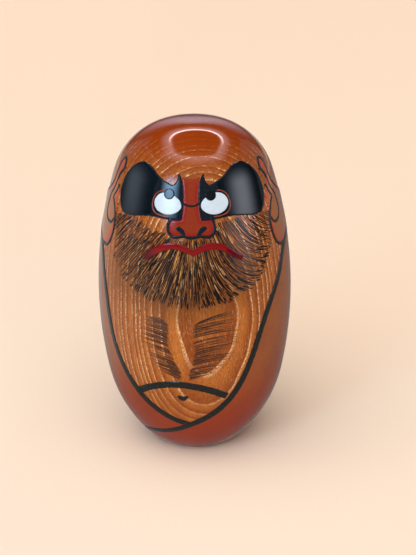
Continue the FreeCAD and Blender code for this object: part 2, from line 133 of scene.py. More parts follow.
class TurnedSurface:
    """The doll's surface of revolution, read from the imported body, foot edge to crown."""

    def __init__(self, body):
        points = vertices_of(body)
        rings = np.column_stack([np.hypot(points[:, 0], points[:, 1]), points[:, 2]])
        self.top = rings[:, 1].max()
        foot = rings[rings[:, 1] < FLAT_FOOT]
        self.foot_radius = foot[:, 0].max()
        knots = self.knots_among(rings)
        along = np.concatenate([[0.0], np.cumsum(np.hypot(*np.diff(knots, axis=0).T))])
        crown = along[-1 - OVER_THE_CROWN]
        self.along = np.linspace(0, crown, int(crown / PROFILE_STEP))
        profile = natural_spline(along, knots, self.along)
        self.radius, self.height = profile.T
        self.height = np.maximum.accumulate(self.height)
        slope = np.gradient(profile, axis=0)
        slope /= np.hypot(*slope.T)[:, None]
        self.outward, self.upward = slope[:, 1], -slope[:, 0]

    def knots_among(self, rings):
        """Spaced-out profile points from the foot's edge up to the crown, and a few beyond it."""
        side = rings[(rings[:, 1] > FLAT_FOOT) & (rings[:, 0] > KNOT_SPACING)]
        turn = np.arctan2(side[:, 1] - self.top / 2, side[:, 0])
        knots = [np.array([self.foot_radius, 0.0])]
        for ring in side[np.argsort(turn)]:
            if np.hypot(*(ring - knots[-1])) > KNOT_SPACING:
                knots.append(ring)
        beyond = [ring * (-1, 1) for ring in knots[-OVER_THE_CROWN:][::-1]]
        return np.array(knots + [[0.0, self.top]] + beyond)

    def radius_at(self, height):
        return np.interp(height, self.height, self.radius)

    def normal_at(self, azimuth, height):
        """Unit normals, one row for each place."""
        turn = np.radians(azimuth)
        out = np.interp(height, self.height, self.outward)
        up = np.interp(height, self.height, self.upward)
        return np.stack([out * np.sin(turn), -out * np.cos(turn), up + 0 * turn], axis=-1)

    def at(self, azimuth, height, lift=0.0):
        """Points in millimetres, `lift` above the surface."""
        turn, height = np.broadcast_arrays(np.radians(azimuth), np.asarray(height, float))
        radius = self.radius_at(height)
        ground = np.stack([radius * np.sin(turn), -radius * np.cos(turn), height], axis=-1)
        return ground + self.normal_at(azimuth, height) * np.asarray(lift)[..., None]

    def place_of(self, points):
        """(azimuth, height) of points near the surface."""
        return np.degrees(np.arctan2(points[:, 0], -points[:, 1])), points[:, 2]

    def lift_of(self, points):
        """How far points stand above the surface."""
        outward = np.interp(points[:, 2], self.height, self.outward)
        return (np.hypot(points[:, 0], points[:, 1]) - self.radius_at(points[:, 2])) * outward


doll = TurnedSurface(NODES["turned_body"])


# ---------- making pieces
def add_mesh(name, points, faces, material, tones=(), smooth=True):
    """A mesh object from points in millimetres, with named numbers on its vertices."""
    mesh = bpy.data.meshes.new(name)
    mesh.from_pydata((np.asarray(points) * MM).tolist(), [], [list(face) for face in faces])
    mesh.materials.append(material)
    mesh.polygons.foreach_set("use_smooth", [smooth] * len(mesh.polygons))
    for tone, values in dict(tones).items():
        attribute = mesh.attributes.new(tone, "FLOAT", "POINT")
        attribute.data.foreach_set("value", np.asarray(values, np.float32))
    mesh.validate()
    obj = bpy.data.objects.new(name, mesh)
    bpy.context.scene.collection.objects.link(obj)
    return obj


def put_on(piece, slot, *nodes):
    """The piece belongs to the doll and stands for CAD nodes. `slot` is not used."""
    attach(piece, "root")
    if nodes:
        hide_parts(*nodes)
    return piece


def grid_faces(rows, columns, closed=False):
    """Quads between the points of a grid that is stored row by row."""
    reach = columns if closed else columns - 1
    return [(r * columns + c, r * columns + (c + 1) % columns,
             (r + 1) * columns + (c + 1) % columns, (r + 1) * columns + c)
            for r in range(rows - 1) for c in range(reach)]


# ---------- shader building
class Shader:
    """A material whose nodes are added one call at a time. Sockets can be fed numbers or outputs."""

    def __init__(self, name, **surface):
        self.material = bpy.data.materials.new(name)
        self.material.use_nodes = True
        self.tree = self.material.node_tree
        self.surface = self.tree.nodes["Principled BSDF"]
        for socket, value in surface.items():
            self.surface.inputs[socket.replace("_", " ")].default_value = value
        self.place = self.node("ShaderNodeTexCoord").outputs["Object"]

    def node(self, kind, inputs=None, **settings):
        made = self.tree.nodes.new(kind)
        for setting, value in settings.items():
            setattr(made, setting, value)
        for socket, value in (inputs or {}).items():
            self.feed(made.inputs[socket], value)
        return made

    def feed(self, socket, value):
        if isinstance(value, bpy.types.NodeSocket):
            self.tree.links.new(value, socket)
        else:
            socket.default_value = value

    def math(self, operation, first, second=0.0):
        return self.node("ShaderNodeMath", {0: first, 1: second}, operation=operation).outputs[0]

    def times(self, *factors):
        """Product of numbers and outputs."""
        product = factors[0]
        for factor in factors[1:]:
            product = self.math("MULTIPLY", product, factor)
        return product

    def axis(self, k):
        """How far along X, Y or Z (k = 0, 1 or 2) a place is, in metres."""
        return self.node("ShaderNodeSeparateXYZ", {0: self.place}).outputs[k]

    def number(self, attribute):
        return self.node("ShaderNodeAttribute", attribute_name=attribute).outputs["Fac"]

    def noise(self, size, detail=2.0, roughness=0.5):
        """Noise whose features are about size = (x, y, z) millimetres."""
        scale = tuple(1 / (length * MM) for length in size)
        place = self.node("ShaderNodeMapping", {"Vector": self.place, "Scale": scale}).outputs[0]
        inputs = {"Vector": place, "Scale": 1.0, "Detail": detail, "Roughness": roughness}
        return self.node("ShaderNodeTexNoise", inputs).outputs["Fac"]

    def fade(self, value, start, end, low=0.0, high=1.0):
        """Smooth step from low at start to high at end."""
        inputs = {"Value": value, "From Min": start, "From Max": end, "To Min": low, "To Max": high}
        return self.node("ShaderNodeMapRange", inputs, interpolation_type="SMOOTHSTEP").outputs[0]

    def fade_mm(self, length, start, end, low=0.0, high=1.0):
        """The same over a length, with start and end in millimetres."""
        return self.fade(length, start * MM, end * MM, low, high)

    def fade_up(self, heights, low=0.0, high=1.0):
        """Smooth step between two heights above the foot, in millimetres."""
        return self.fade_mm(self.axis(2), *heights, low, high)

    def blend(self, factor, first, second):
        """Mix of two colours."""
        made = self.node("ShaderNodeMix", data_type="RGBA")
        self.feed(made.inputs[0], factor)
        self.feed(made.inputs[6], linear(first) if isinstance(first, tuple) else first)
        self.feed(made.inputs[7], linear(second) if isinstance(second, tuple) else second)
        return made.outputs[2]

    def bump(self, height, strength, distance):
        inputs = {"Height": height, "Strength": strength, "Distance": distance * MM}
        self.feed(self.surface.inputs["Normal"], self.node("ShaderNodeBump", inputs).outputs[0])

    def finish(self, colour, roughness):
        self.feed(self.surface.inputs["Base Color"], colour)
        self.feed(self.surface.inputs["Roughness"], roughness)
        return self.material


VARNISH = {"Coat_Weight": 1.0, "Coat_Roughness": 0.05, "Coat_IOR": 1.45, "Specular_IOR_Level": 0.02}

# Heights between which the doll's looks change, and for the mouth the way from its middle.
BELLY = (22, 42)
ROBE_SHOULDERS = (10, 50)
UPPER_FACE = (88, 104)
FOREHEAD = (96, 104)
CROWN = (104, 117)
CROWN_TOP = (109, 116)
NOSE_BRIDGE = (102.5, 104.8)
MOUTH_ENDS = (10.5, 14.5)
WASH_STRENGTH = 0.85  # share of the beard's stain in the wood where its wash is full
PAINT_BUMP = (0.3, 0.03)  # strength and height of the relief of brushed paint


# ---------- materials
def stained_ground(wood, streak):
    """The wood without its pale lines: gold to red along the grain, darker on the forehead."""
    fine = wood.noise((0.15, 0.15, 3.0))
    broad = wood.noise((5.0, 5.0, 34.0))
    late = wood.fade(wood.math("FRACT", wood.number("ring")), 0.25, 0.95)
    warm = wood.math("ADD", wood.times(streak, 0.8), wood.times(late, 0.28))
    ground = wood.blend(wood.fade(warm, 0.3, 0.8), WOOD_GOLD, WOOD_RED)
    ground = wood.blend(wood.fade(broad, 0.35, 0.7, 0.0, 0.5), ground, WOOD_RED)
    ground = wood.blend(wood.fade(fine, 0.54, 0.68, 0.0, 0.6), ground, WOOD_DARK)
    ground = wood.blend(wood.times(wood.number("wash"), WASH_STRENGTH), ground, BEARD_STAIN)
    end_grain = wood.fade(wood.noise((1.1, 0.6, 0.6), detail=3.0, roughness=0.6), 0.46, 0.6)
    end_grain = wood.times(end_grain, wood.fade_up(FOREHEAD, 0.0, 0.5))
    ground = wood.blend(end_grain, ground, WOOD_DARK)
    ground = wood.blend(wood.fade_up(UPPER_FACE, 0.0, 0.35), ground, WOOD_RED)
    return wood.blend(wood.fade_up(CROWN, 0.0, 0.9), ground, CROWN_RED)


def ring_lines(wood):
    """Beaded open-pored lines where the growth rings start, each with a strength of its own."""
    ring = wood.number("ring")
    from_line = wood.times(wood.math("FRACT", ring), wood.number("gap"))
    early = wood.fade(from_line, EARLY_WOOD * 1.2, EARLY_WOOD * 2.6, 1.0, 0.0)
    beads = wood.fade(wood.noise((0.34, 0.34, 0.62), detail=3.0, roughness=0.65), 0.44, 0.56)
    patches = wood.fade(wood.noise((5.0, 5.0, 14.0), detail=1.0), 0.3, 0.54, 0.2, 1.0)
    own = wood.node("ShaderNodeTexWhiteNoise", {"W": wood.math("FLOOR", ring)}, noise_dimensions="1D")
    return wood.times(early, beads, patches, wood.fade(own.outputs["Value"], 0.0, 1.0, 0.7, 1.2))


def pale_filler(wood, lines):
    """Share of filler in ring lines and fine pores, less on the belly, in the beard and above it."""
    pores = wood.fade(wood.noise((0.2, 0.2, 2.2)), 0.60, 0.70, 0.0, 0.34)
    broken = wood.fade(wood.noise((1.8, 1.0, 1.0)), 0.42, 0.6)
    broken = wood.math("MAXIMUM", broken, wood.fade_up(FOREHEAD, 1.0, 0.15))
    in_beard_wash = wood.fade(wood.number("wash"), 0.0, 0.6, 1.0, 0.45)
    return wood.times(wood.math("MAXIMUM", lines, pores), wood.fade_up(CROWN_TOP, 1.0, 0.1),
                      in_beard_wash, wood.fade_up(BELLY, 0.22, 1.0), broken)


def wood_material():
    """Stained open-grained hardwood: growth rings, fine streaks and pale filler in the pores."""
    wood = Shader("stained_wood", **VARNISH)
    streak = wood.noise((0.28, 0.28, 8.0), detail=4.0, roughness=0.7)
    lines = ring_lines(wood)
    wood.bump(wood.math("SUBTRACT", streak, lines), 0.25, 0.05)
    colour = wood.blend(pale_filler(wood, lines), stained_ground(wood, streak), FILLER)
    return wood.finish(colour, wood.fade(streak, 0.2, 0.9, 0.38, 0.55))


def paint_material(name, thick, thin, streak_size, cover=(0.3, 0.75), rough=0.4, edge=None):
    """Brushed paint in two tones, with a third further in from its rim if `edge` says."""
    paint = Shader(name, **VARNISH)
    streak = paint.noise(streak_size, detail=4.0, roughness=0.6)
    colour = paint.blend(paint.fade(streak, *cover), thick, thin)
    if edge:
        start, end, tone = edge
        colour = paint.blend(paint.fade(paint.number("inside"), start, end), colour, tone)
    paint.bump(streak, *PAINT_BUMP)
    return paint.finish(colour, paint.fade(streak, 0.2, 0.8, rough - 0.05, rough + 0.1))


def robe_material():
    """Red-brown lacquer, browner towards the shoulders, with soft darker clouds."""
    robe = Shader("robe_lacquer", **VARNISH)
    cloud = robe.noise((16.0, 16.0, 22.0))
    streak = robe.noise((2.5, 2.5, 0.5), detail=3.0)
    lacquer = robe.blend(robe.fade_up(ROBE_SHOULDERS), ROBE_RED, ROBE_BROWN)
    lacquer = robe.blend(robe.fade(cloud, 0.4, 0.85, 0.0, 0.4), lacquer, ROBE_DARK)
    lacquer = robe.blend(robe.fade(streak, 0.4, 0.9, 0.0, 0.3), lacquer, ROBE_DARK)
    robe.bump(cloud, 0.2, 0.05)
    return robe.finish(lacquer, robe.fade(cloud, 0.2, 0.8, 0.35, 0.5))


def nose_material():
    """Red at the nose's sides and wings, thin over the middle, lost in the wood at the top."""
    nose = Shader("nose_red", **VARNISH)
    streak = nose.noise((0.6, 0.6, 2.0), detail=4.0, roughness=0.6)
    speckle = nose.noise((0.3, 0.3, 0.4), detail=3.0, roughness=0.6)
    thin = nose.fade(nose.number("inside"), 0.5, 1.9)
    thin = nose.math("MAXIMUM", thin, nose.fade_up(NOSE_BRIDGE))
    thin = nose.times(thin, nose.fade(speckle, 0.35, 0.6, 0.25, 1.0))
    red = nose.blend(nose.fade(streak, 0.5, 0.85), NOSE_RED, MOUTH_RED)
    nose.bump(streak, *PAINT_BUMP)
    return nose.finish(nose.blend(thin, red, NOSE_THIN), 0.4)


def mouth_material():
    """Bright red, pooled dark towards the ends of the stroke."""
    mouth = Shader("mouth_red", **VARNISH)
    across = mouth.math("ABSOLUTE", mouth.axis(0))
    pool = mouth.noise((2.2, 2.2, 1.2), detail=3.0, roughness=0.6)
    pooled = mouth.fade(pool, 0.5, 0.75, 0.0, 0.5)
    dark = mouth.math("ADD", pooled, mouth.fade_mm(across, *MOUTH_ENDS, 0.0, 0.75))
    mouth.bump(pool, *PAINT_BUMP)
    return mouth.finish(mouth.blend(dark, MOUTH_RED, MOUTH_DARK), 0.4)


def hair_material(name, dark, brown):
    """Hair strokes: each with its own tone, browner and thinner towards its tip."""
    hair = Shader(name, **VARNISH)
    dry = hair.noise((0.2, 0.2, 0.9), detail=3.0)
    tone = hair.math("ADD", hair.number("tone"), hair.fade(dry, 0.35, 0.8, -0.15, 0.15))
    return hair.finish(hair.blend(hair.fade(tone, 0.05, 0.95), dark, brown), 0.45)


# ---------- the body
BODY_COLUMNS = 384
BODY_ROW_STEP = 0.55
FOOT_RINGS = np.linspace(0.15, 0.97, 8)  # shares of the foot's radius
RING_FACING = 8.5  # azimuth that the flat-sawn growth rings face
RING_DEPTHS = (-2.0, 1.35, 3.7, 5.2, 6.7, 8.0, 9.1, 10.2, 12.4, 14.3, 15.6, 17.9, 19.8, 22.4, 24.2, 27.0,
               29.1, 31.6, 34.8, 37.0, 39.9, 42.1, 45.2, 48.0, 50.3, 53.6, 56.0, 59.3, 62.2, 65.0, 72.0)
# Each waver of the rings: its depth, its lengths up and across the doll, and its start.
RING_WAVERS = ((0.20, 17.0, math.inf, 1.0), (0.12, 6.1, 9.0, 0.0), (0.06, 2.3, 4.0, 0.0))
EARLY_WOOD = 0.13  # how far before a ring's depth its open-pored line starts
BEARD_WASH_CENTRE = (-8.0, 73.0)
BEARD_WASH_REACH = (64.0, 19.0)
BEARD_WASH_PEAK = 1.6  # the wash falls from this, where over 1 is full, to 0 at its reach


def ring_number(points):
    """Each point's growth ring, counted inwards with its fraction, and that ring's thickness."""
    facing = direction(RING_FACING, 0)
    forward = points[:, 0] * facing.x + points[:, 1] * facing.y
    waver = sum(deep * np.sin(points[:, 2] / up + points[:, 0] / across + start)
                for deep, up, across, start in RING_WAVERS)
    depth = doll.radius.max() - forward + waver + EARLY_WOOD
    ring = np.interp(depth, RING_DEPTHS, np.arange(len(RING_DEPTHS)))
    gaps = np.diff(RING_DEPTHS)
    return ring, gaps[np.clip(ring.astype(int), 0, len(gaps) - 1)]


def beard_wash(azimuth, height):
    """0 to 1: where hair strokes lie so close that their paint darkens the wood between."""
    across = (azimuth - BEARD_WASH_CENTRE[0]) / BEARD_WASH_REACH[0]
    up = (height - BEARD_WASH_CENTRE[1]) / BEARD_WASH_REACH[1]
    return np.clip(BEARD_WASH_PEAK * (1 - np.hypot(across, up)), 0, 1)


def make_body(material):
    """One lathe mesh: flat foot, sides and crown."""
    rows = int(doll.along[-1] / BODY_ROW_STEP)
    along = np.linspace(0, doll.along[-1], rows)
    radius = np.interp(along, doll.along, doll.radius)
    height = np.interp(along, doll.along, doll.height)
    foot_rings = FOOT_RINGS * doll.foot_radius
    radius = np.concatenate([foot_rings, radius[:-1]])
    height = np.concatenate([0 * foot_rings, height[:-1]])
    turn = np.linspace(-math.pi, math.pi, BODY_COLUMNS, endpoint=False)
    grid = np.stack([np.outer(radius, np.sin(turn)), -np.outer(radius, np.cos(turn)),
                     np.outer(height, np.ones_like(turn))], axis=-1).reshape(-1, 3)
    faces = grid_faces(len(radius), BODY_COLUMNS, closed=True)
    foot_centre, crown = len(grid), len(grid) + 1
    last_ring = (len(radius) - 1) * BODY_COLUMNS
    for c in range(BODY_COLUMNS):
        after = (c + 1) % BODY_COLUMNS
        faces.append((foot_centre, after, c))
        faces.append((crown, last_ring + c, last_ring + after))
    points = np.vstack([grid, [(0, 0, 0), (0, 0, doll.top)]])
    azimuth, level = doll.place_of(points)
    ring, gap = ring_number(points)
    tones = {"ring": ring, "gap": gap, "wash": beard_wash(azimuth, level)}
    return put_on(add_mesh("body", points, faces, material, tones), "wood", "turned_body")


# ---------- paint films
LIFT_TOLERANCE = 0.02  # how far below its highest point a film's upper face may lie
WELD = 0.002  # points of a node nearer than this are one point
SMALLEST_RIM = 0.5  # loops smaller than this are seams in the upper face, not rims
EDGE_ROUND = 0.2  # how far in from its rim a film reaches its full height
RIM_LIFT = 0.45  # share of its height that a film has at its very rim
RIM_SPACING = 0.7  # from one rim point to the next, as a share of a film's step
ROW_SPACING = 0.87  # from one row of its grid to the next
RIM_ROOM = 0.55  # from its rim to its grid
SUNK = 0.03  # how far a film's underside lies in what is under it
WOBBLE = 0.05  # how far a brushed edge strays


def upper_face(node):
    """A film's welded points, the triangles of its upper face, and its lowest and highest lift."""
    welded = bmesh.new()
    welded.from_mesh(node.data)
    bmesh.ops.remove_doubles(welded, verts=welded.verts, dist=WELD * MM)
    welded.verts.index_update()
    points = np.array([vertex.co for vertex in welded.verts]) / MM
    triangles = np.array([[vertex.index for vertex in face.verts] for face in welded.faces])
    welded.free()
    lifts = doll.lift_of(points)
    top = lifts.max()
    upper = triangles[(lifts[triangles] > top - LIFT_TOLERANCE).all(axis=1)]
    return points, upper, max(lifts.min(), 0.0), top


def open_edges(faces):
    """Directed edges that only one of the faces has."""
    corners = faces.shape[1]
    edges = {(face[k], face[(k + 1) % corners]) for face in faces.tolist() for k in range(corners)}
    return [(a, b) for a, b in edges if (b, a) not in edges]


def rims_of(points, triangles, smallest=SMALLEST_RIM):
    """Closed loops round the triangles, each as rows of azimuth and height, azimuth unwrapped."""
    onward = {}
    for a, b in open_edges(triangles):
        onward.setdefault(a, []).append(b)
    rims = []
    while onward:
        chain = [next(iter(onward))]
        while chain[-1] in onward:
            here = chain[-1]
            there = onward[here].pop()
            if not onward[here]:
                del onward[here]
            if there in chain:
                first = chain.index(there)
                rims.append(chain[first:])
                chain = chain[:first]
            chain.append(there)
    rims = [places_on_rim(points[rim]) for rim in rims]
    return [rim for rim in rims if rim_area(rim) >= smallest]


def places_on_rim(corners):
    azimuth, height = doll.place_of(corners)
    return np.column_stack([np.degrees(np.unwrap(np.radians(azimuth))), height])


def rim_area(rim):
    """Area inside a rim, in degrees of azimuth times millimetres."""
    azimuth, height = rim.T
    return abs(np.sum(azimuth * np.roll(height, -1) - np.roll(azimuth, -1) * height)) / 2


def hand_noise(length, seed):
    """Slow random waver for each of `length` steps round a closed line."""
    random = np.random.default_rng(seed)
    turn = np.linspace(0, 2 * math.pi, length, endpoint=False)
    waves = range(3, max(length // 5, 4))
    total = sum(random.normal() * np.sin(wave * turn + random.uniform(0, 2 * math.pi)) for wave in waves)
    return total / math.sqrt(len(waves))


def brushed_rim(rim, seed, wobble, spacing):
    """The rim at an even spacing, a little softened and wavering like a brush line."""
    loop = np.vstack([rim, rim[:1]])
    walked = np.linalg.norm(np.diff(doll.at(*loop.T), axis=0), axis=1)
    along = np.concatenate([[0], np.cumsum(walked)])
    count = max(int(along[-1] / spacing), 12)
    steps = np.linspace(0, along[-1], count, endpoint=False)
    even = np.column_stack([np.interp(steps, along, loop[:, k]) for k in (0, 1)])
    even = (np.roll(even, 1, axis=0) + 2 * even + np.roll(even, -1, axis=0)) / 4
    across = np.radians(1) * doll.radius_at(even[:, 1])
    ahead = np.roll(even, -1, axis=0) - np.roll(even, 1, axis=0)
    ahead[:, 0] *= across
    ahead /= np.linalg.norm(ahead, axis=1)[:, None]
    stray = hand_noise(count, seed) * wobble
    even[:, 0] += -ahead[:, 1] * stray / across
    even[:, 1] += ahead[:, 0] * stray
    return even


def inside_rims(places, rims):
    """Even-odd test of places against all rims together."""
    x, y = places[:, 0][:, None], places[:, 1][:, None]
    inside = np.zeros(len(places), bool)
    for rim in rims:
        a, b = rim, np.roll(rim, -1, axis=0)
        crosses = (a[:, 1] > y) != (b[:, 1] > y)
        rise = np.where(b[:, 1] == a[:, 1], 1e-9, b[:, 1] - a[:, 1])
        crossing_x = a[:, 0] + (y - a[:, 1]) * (b[:, 0] - a[:, 0]) / rise
        inside ^= (crosses & (x < crossing_x)).sum(axis=1) % 2 == 1
    return inside


def film_places(rims, step):
    """Rim points and a staggered grid inside, the rims' edges, the rims' k-d tree and mm per degree."""
    places, edges = [], []
    for rim in rims:
        first = len(places)
        places.extend(rim.tolist())
        edges.extend((first + k, first + (k + 1) % len(rim)) for k in range(len(rim)))
    low, high = np.min(places, axis=0), np.max(places, axis=0)
    per_degree = math.radians(1) * doll.radius_at((low[1] + high[1]) / 2)
    rows = np.arange(low[1] + step / 2, high[1], step * ROW_SPACING)
    columns = np.arange(low[0], high[0], step / per_degree)
    stagger = step / per_degree / 2
    grid = np.array([(column + (k % 2) * stagger, row)
                     for k, row in enumerate(rows) for column in columns])
    grid = grid[inside_rims(grid, rims)]
    tree = kdtree.KDTree(len(places))
    for k, place in enumerate(places):
        tree.insert(doll.at(*place), k)
    tree.balance()
    far = [place for place in grid.tolist() if tree.find(doll.at(*place))[2] > step * RIM_ROOM]
    return np.array(places + far), edges, tree, per_degree


def make_film(node, material, slot, step, wobble, seed, lowest):
    """A paint film laid afresh on the doll from its CAD node's outline, with soft rounded edges."""
    points, triangles, base, top = upper_face(NODES[node])
    base = max(base, lowest)
    rims = [brushed_rim(rim, seed + k, wobble, step * RIM_SPACING)
            for k, rim in enumerate(rims_of(points, triangles))]
    places, edges, tree, per_degree = film_places(rims, step)
    flat = [Vector((azimuth * per_degree, height)) for azimuth, height in places]
    flat_out, _, faces, _, _, _ = geometry.delaunay_2d_cdt(flat, edges, [], 1, 1e-6)
    places = np.array([(point.x / per_degree, point.y) for point in flat_out])
    faces = np.array([face for face in faces if len(face) == 3])
    faces = faces[inside_rims(places[faces].mean(axis=1), rims)]
    used, faces = np.unique(faces, return_inverse=True)
    places, faces = places[used], faces.reshape(-1, 3)
    from_rim = np.array([tree.find(point)[2] for point in doll.at(*places.T)])
    lifts = base + (top - base) * swelling(from_rim)
    upper = doll.at(*places.T, lifts)
    under = doll.at(*places.T, np.full(len(places), base - SUNK))
    obj = add_mesh(f"{node}_paint", np.vstack([upper, under]), film_faces(faces, len(places)), material,
                   {"inside": np.tile(from_rim, 2)})
    return put_on(obj, slot, node)


def swelling(from_rim):
    """Share of its height that a film has, this far in from its rim."""
    rounded = np.sqrt(1 - (1 - np.clip(from_rim / EDGE_ROUND, 0, 1)) ** 2)
    return RIM_LIFT + (1 - RIM_LIFT) * rounded


def film_faces(faces, count):
    """Upper face, the same turned over below it, and the narrow wall between them."""
    wall = [(b, a, a + count, b + count) for a, b in open_edges(faces)]
    return faces.tolist() + (faces[:, ::-1] + count).tolist() + wall


ROBE_COLUMNS = 480
ROBE_ROWS = 150


def make_robe(material):
    """The robe's lacquer: a thin skin from near the foot up to the collar all the way round."""
    points, triangles, base, top = upper_face(NODES["robe_lacquer"])
    rims = sorted(rims_of(points, triangles, smallest=0), key=lambda rim: rim[:, 1].mean())
    foot = rims[0][:, 1].mean()
    collar = rims[-1]
    turn = (collar[:, 0] + 180) % 360 - 180
    order = np.argsort(turn)
    columns = np.linspace(-180, 180, ROBE_COLUMNS, endpoint=False)
    edge = np.interp(columns, turn[order], collar[order, 1], period=360)
    share = np.linspace(0, 1, ROBE_ROWS)[:, None]
    height = foot + (edge - foot) * share
    azimuth = np.broadcast_to(columns, height.shape)
    from_edge = np.minimum(height - foot, edge - height)
    upper = doll.at(azimuth, height, base + (top - base) * swelling(from_edge)).reshape(-1, 3)
    under = doll.at(azimuth, height, np.full(height.shape, base - SUNK)).reshape(-1, 3)
    faces = film_faces(np.array(grid_faces(ROBE_ROWS, ROBE_COLUMNS, closed=True)), len(upper))
    obj = add_mesh("robe", np.vstack([upper, under]), faces, material)
    return put_on(obj, "robe", "robe_lacquer")


# ---------- hair strokes
STROKE_POINTS = 14
FEWEST_POINTS = 4  # a stroke cut shorter than this is left out
STROKE_SUNK = 0.01  # how far a stroke's edges lie in the wood


def walk(start, heading, length, keep_in=None):
    """Places along a stroke that follows a field of headings, degrees from straight down to +X."""
    azimuth, height = start
    places = [(azimuth, height)]
    stride = length / (STROKE_POINTS - 1)
    for _ in range(STROKE_POINTS - 1):
        angle = math.radians(heading(azimuth, height))
        azimuth += math.degrees(math.sin(angle) * stride / doll.radius_at(height))
        height -= math.cos(angle) * stride
        if keep_in and not keep_in(azimuth, height):
            break
        places.append((azimuth, height))
    return np.array(places)


def stroke_body(places, width, ridge):
    """A thin tapered ridge along the places: three points to each station, closed all round."""
    azimuth, height = places.T
    share = np.linspace(0, 1, len(places))
    taper = np.clip(share / 0.1 + 0.35, 0, 1) * np.clip((1 - share) / 0.4, 0, 1) ** 0.6 + 0.06
    ground = doll.at(azimuth, height)
    normal = doll.normal_at(azimuth, height)
    ahead = np.gradient(ground, axis=0)
    across = np.cross(ahead, normal)
    across /= np.linalg.norm(across, axis=1)[:, None]
    half = across * (width / 2 * taper)[:, None]
    low = normal * -STROKE_SUNK
    high = normal * (ridge * (0.4 + 0.6 * taper))[:, None]
    return np.stack([ground - half + low, ground + high, ground + half + low], axis=1).reshape(-1, 3)


def make_strokes(name, strokes, material, slot, *nodes):
    """One mesh from many strokes, each given as (places, width, ridge, tone)."""
    points, faces, tones = [], [], []
    count = 0
    for places, width, ridge, tone in strokes:
        if len(places) < FEWEST_POINTS:
            continue
        body = stroke_body(places, width, ridge)
        stations = len(places)
        faces += [tuple(k + count for k in face) for face in grid_faces(stations, 3, closed=True)]
        last = count + 3 * (stations - 1)
        faces += [(count + 2, count + 1, count), (last, last + 1, last + 2)]
        points.append(body)
        fading = np.repeat(np.linspace(0, 1, stations), 3)
        tones.append(tone + 0.2 * fading ** 3)
        count += len(body)
    obj = add_mesh(name, np.vstack(points), faces, material, {"tone": np.concatenate(tones)}, smooth=False)
    return put_on(obj, slot, *nodes)


BEARD_TOP = ((-58, 91.0), (-50, 92.2), (-38, 92.4), (-32, 91.0), (-25, 89.0), (-14, 88.2), (-12, 86.4),
             (12, 86.4), (15, 91.0), (21, 92.4), (30, 92.6), (40, 92.4), (58, 91.6))
BEARD_FOOT = ((-59, 84.0), (-57, 79.5), (-54, 75.2), (-49, 71.6), (-42, 69.0), (-34, 65.8), (-22, 63.6),
              (-8, 62.4), (6, 62.3), (18, 63.6), (28, 65.2), (36, 67.0), (42, 69.6), (48, 73.0), (53, 77.5),
              (57, 82.0), (59, 88))


def beard_heading(azimuth, height):
    """Hairs hang straight down in the middle, lean out on the left and curl out flat on the right."""
    if azimuth >= 0:
        return min(azimuth * (1.15 + 0.045 * (90 - height)), 84.0 + 0.3 * max(azimuth - 20, 0.0))
    settle = 16 + max(80 - height, 0)
    lean = 48 * (1 - math.exp(azimuth / settle))
    moustache = 14 * np.clip((height - 83) / 4, 0, 1) * math.exp(-((azimuth + 16) / 12) ** 2)
    return -(lean + moustache)


def in_beard(azimuth, height):
    top = np.interp(azimuth, *np.transpose(BEARD_TOP))
    foot = np.interp(azimuth, *np.transpose(BEARD_FOOT))
    return foot < height < top


BEARD_SIDES = 59  # degrees from the front that the beard reaches
HAIR_ROOM = 0.66  # clear room from one long hair to the next
# Each round of beard hairs: tries, heights they start at, clear room to the next hair, length, width,
# ridge, tone and its spread.
BEARD_ROUNDS = (
    (1000, (63, 92), 0.90, (6.0, 10.0), 0.60, 0.014, 0.70, 0.15),
    (1600, (84, 93), HAIR_ROOM, (16.0, 30.0), 0.60, 0.030, 0.00, 0.04),
    (1600, (72, 86), HAIR_ROOM, (10.0, 20.0), 0.62, 0.030, 0.00, 0.04),
    (12000, (62, 93), 0.45, (4.0, 9.0), 0.50, 0.026, 0.00, 0.06),
)
FOLLOW_ROOM = 0.45  # share of its clear room that a hair keeps once it is under way
TRACE = 4  # places noted on each piece of a hair, for the next hairs to keep clear of


class Combing:
    """Remembers where hairs lie, so that each new one keeps clear of them as a brush would."""

    def __init__(self, room):
        self.room = room
        self.laid = {}

    def flat(self, azimuth, height):
        return math.radians(azimuth) * float(doll.radius_at(height)), height

    def clear(self, azimuth, height, room):
        x, y = self.flat(azimuth, height)
        column, row = int(x // self.room), int(y // self.room)
        around = [(column + c, row + r) for c in (-1, 0, 1) for r in (-1, 0, 1)]
        return all(math.hypot(x - a, y - b) > room for cell in around for a, b in self.laid.get(cell, ()))

    def lay(self, places):
        for share in np.arange(TRACE) / TRACE:
            for azimuth, height in places[:-1] + (places[1:] - places[:-1]) * share:
                x, y = self.flat(azimuth, height)
                self.laid.setdefault((int(x // self.room), int(y // self.room)), []).append((x, y))


def beard_strokes(random):
    """Soft brown under-strokes, then long dark hairs, then short ones in the gaps between them."""
    strokes = []
    dark = Combing(HAIR_ROOM)
    for tries, heights, room, lengths, width, ridge, tone, spread in BEARD_ROUNDS:
        combing = dark if room <= dark.room else Combing(room)
        for _ in range(tries):
            start = (random.uniform(-BEARD_SIDES, BEARD_SIDES), random.uniform(*heights))
            if not in_beard(*start) or not combing.clear(*start, room):
                continue
            lean = random.normal(0, 1.2)
            ragged = random.uniform(-0.7, 0.8)
            places = walk(start, lambda a, h: beard_heading(a, h) + lean, random.uniform(*lengths),
                          lambda a, h: in_beard(a, h + ragged) and combing.clear(a, h, room * FOLLOW_ROOM))
            if len(places) < FEWEST_POINTS:
                continue
            combing.lay(places)
            low_down = float(np.clip((84 - start[1]) / 12, 0, 1))
            thick = width * random.uniform(0.75, 1.15) * (0.92 + 0.22 * low_down)
            lighter = 0.1 * np.clip((abs(start[0]) - 34) / 20, 0, 1) + 0.06 * (1 - low_down)
            strokes.append((places, thick, ridge, np.clip(random.normal(tone + lighter, spread), 0, 1)))
    return strokes


PALE_STROKES = 90


